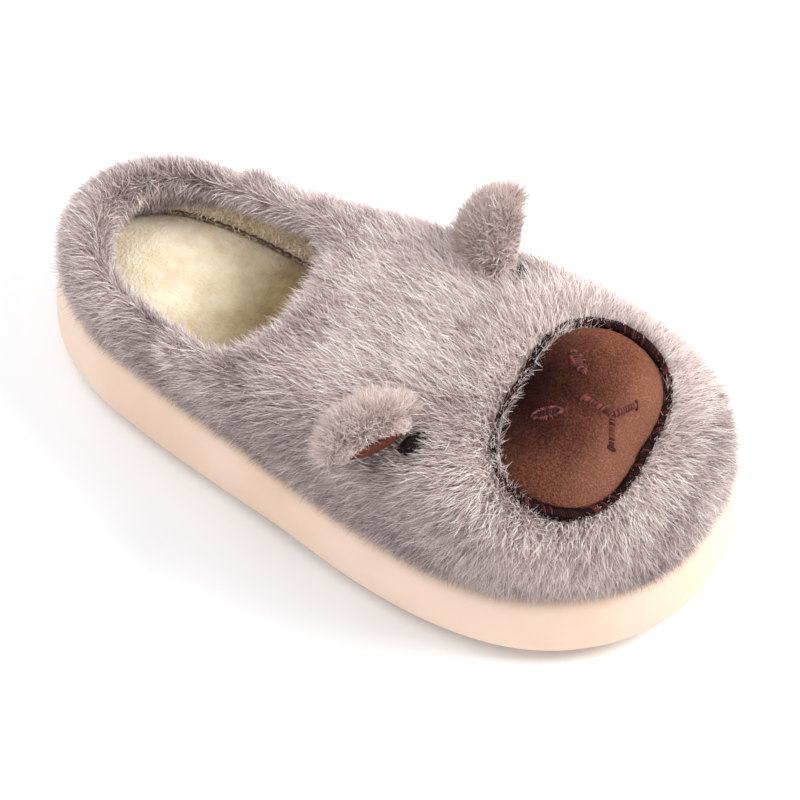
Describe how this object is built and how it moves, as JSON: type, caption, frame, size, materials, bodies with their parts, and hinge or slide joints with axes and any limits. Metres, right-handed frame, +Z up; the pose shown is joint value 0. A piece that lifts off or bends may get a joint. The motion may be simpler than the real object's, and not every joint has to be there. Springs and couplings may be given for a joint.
{
  "type": "animal slipper",
  "caption": "Plush clog-style slipper with an animal face: thick foamed sole, furry closed-toe upper with low padded heel, stuffed ears, velour muzzle with stitched nostrils and mouth.",
  "frame": {"origin": "on the floor, under the middle of the slipper's box", "axes": "+X from the heel to the toe, +Y to the big-toe side, +Z up from the floor"},
  "size_m": [0.266, 0.1172, 0.1137],
  "materials": {
    "sole": "smooth satin foam",
    "plush": "long-pile fur, grey roots and pale tips",
    "insole_plush": "short cream plush",
    "velour": "brown velour",
    "thread": "dark satin stitch",
    "eye": "near-black felt"
  },
  "bodies": {
    "root": {"sole": "sole", "upper": "plush", "insole": "insole_plush", "ear_medial": "plush", "ear_lateral": "plush", "ear_lining_medial": "velour", "ear_lining_lateral": "velour", "eye_medial": "eye", "eye_lateral": "eye", "muzzle": "velour", "muzzle_border": "thread", "nostril_medial": "thread", "nostril_lateral": "thread", "mouth": "thread"}
  },
  "joints": []
}
